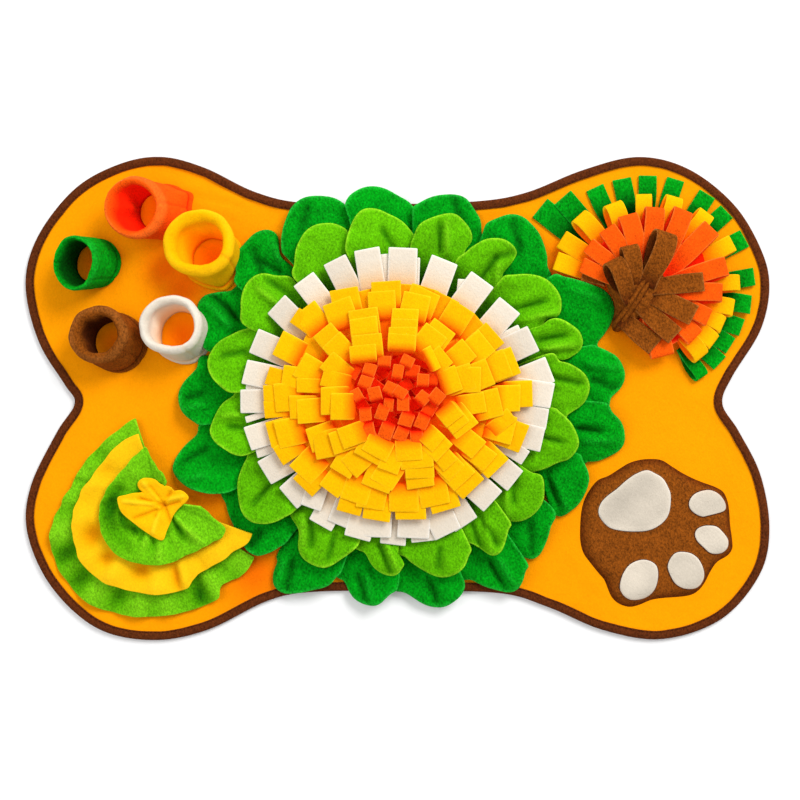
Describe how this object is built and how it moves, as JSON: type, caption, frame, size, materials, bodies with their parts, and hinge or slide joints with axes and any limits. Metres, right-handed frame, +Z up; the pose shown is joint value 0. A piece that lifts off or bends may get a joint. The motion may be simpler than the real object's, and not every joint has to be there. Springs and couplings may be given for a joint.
{
  "type": "snuffle mat",
  "caption": "Bone-shaped fleece snuffle mat with a bound edge, a fringed flower, treat cups, a looped fan, ruffles with a bow and a padded paw.",
  "frame": {"origin": "under the middle of the mat's outline, on the surface that it lies on", "axes": "+Z up from the surface, +X along the bone's length, from the cups and ruffles to the fan and paw, +Y from the ruffles and paw to the cups and fan"},
  "size_m": [0.742, 0.482, 0.0616],
  "materials": {
    "mat_fleece": "brushed matte fleece",
    "binding_cloth": "matte woven tape",
    "leaf_green": "brushed matte fleece",
    "petal_green": "brushed matte fleece",
    "white_fleece": "brushed matte fleece",
    "yellow_fleece": "brushed matte fleece",
    "orange_fleece": "brushed matte fleece",
    "brown_fleece": "brushed matte fleece"
  },
  "bodies": {
    "root": {"mat": "mat_fleece", "binding": "binding_cloth", "leaf_01": "leaf_green", "leaf_02": "leaf_green", "leaf_03": "leaf_green", "leaf_04": "leaf_green", "leaf_05": "leaf_green", "leaf_06": "leaf_green", "leaf_07": "leaf_green", "leaf_08": "leaf_green", "leaf_09": "leaf_green", "leaf_10": "leaf_green", "leaf_11": "leaf_green", "leaf_12": "leaf_green", "leaf_13": "leaf_green", "leaf_14": "leaf_green", "leaf_15": "leaf_green", "leaf_16": "leaf_green", "leaf_17": "leaf_green", "leaf_18": "leaf_green", "petal_01": "petal_green", "petal_02": "petal_green", "petal_03": "petal_green", "petal_04": "petal_green", "petal_05": "petal_green", "petal_06": "petal_green", "petal_07": "petal_green", "petal_08": "petal_green", "petal_09": "petal_green", "petal_10": "petal_green", "petal_11": "petal_green", "petal_12": "petal_green", "petal_13": "petal_green", "petal_14": "petal_green", "petal_15": "petal_green", "petal_16": "petal_green", "petal_17": "petal_green", "fringe_white": "white_fleece", "fringe_yellow": "yellow_fleece", "fringe_centre": "orange_fleece", "fan_green": "leaf_green", "fan_yellow": "yellow_fleece", "fan_orange": "orange_fleece", "fan_brown": "brown_fleece", "cup_orange": "orange_fleece", "cup_green": "leaf_green", "cup_yellow": "yellow_fleece", "cup_brown": "brown_fleece", "cup_white": "white_fleece", "ruffle_lower": "petal_green", "ruffle_middle": "yellow_fleece", "ruffle_upper": "petal_green", "bow": "yellow_fleece", "paw": "brown_fleece", "pad_palm": "white_fleece", "pad_toe_1": "white_fleece", "pad_toe_2": "white_fleece", "pad_toe_3": "white_fleece", "pad_toe_4": "white_fleece"}
  },
  "joints": []
}
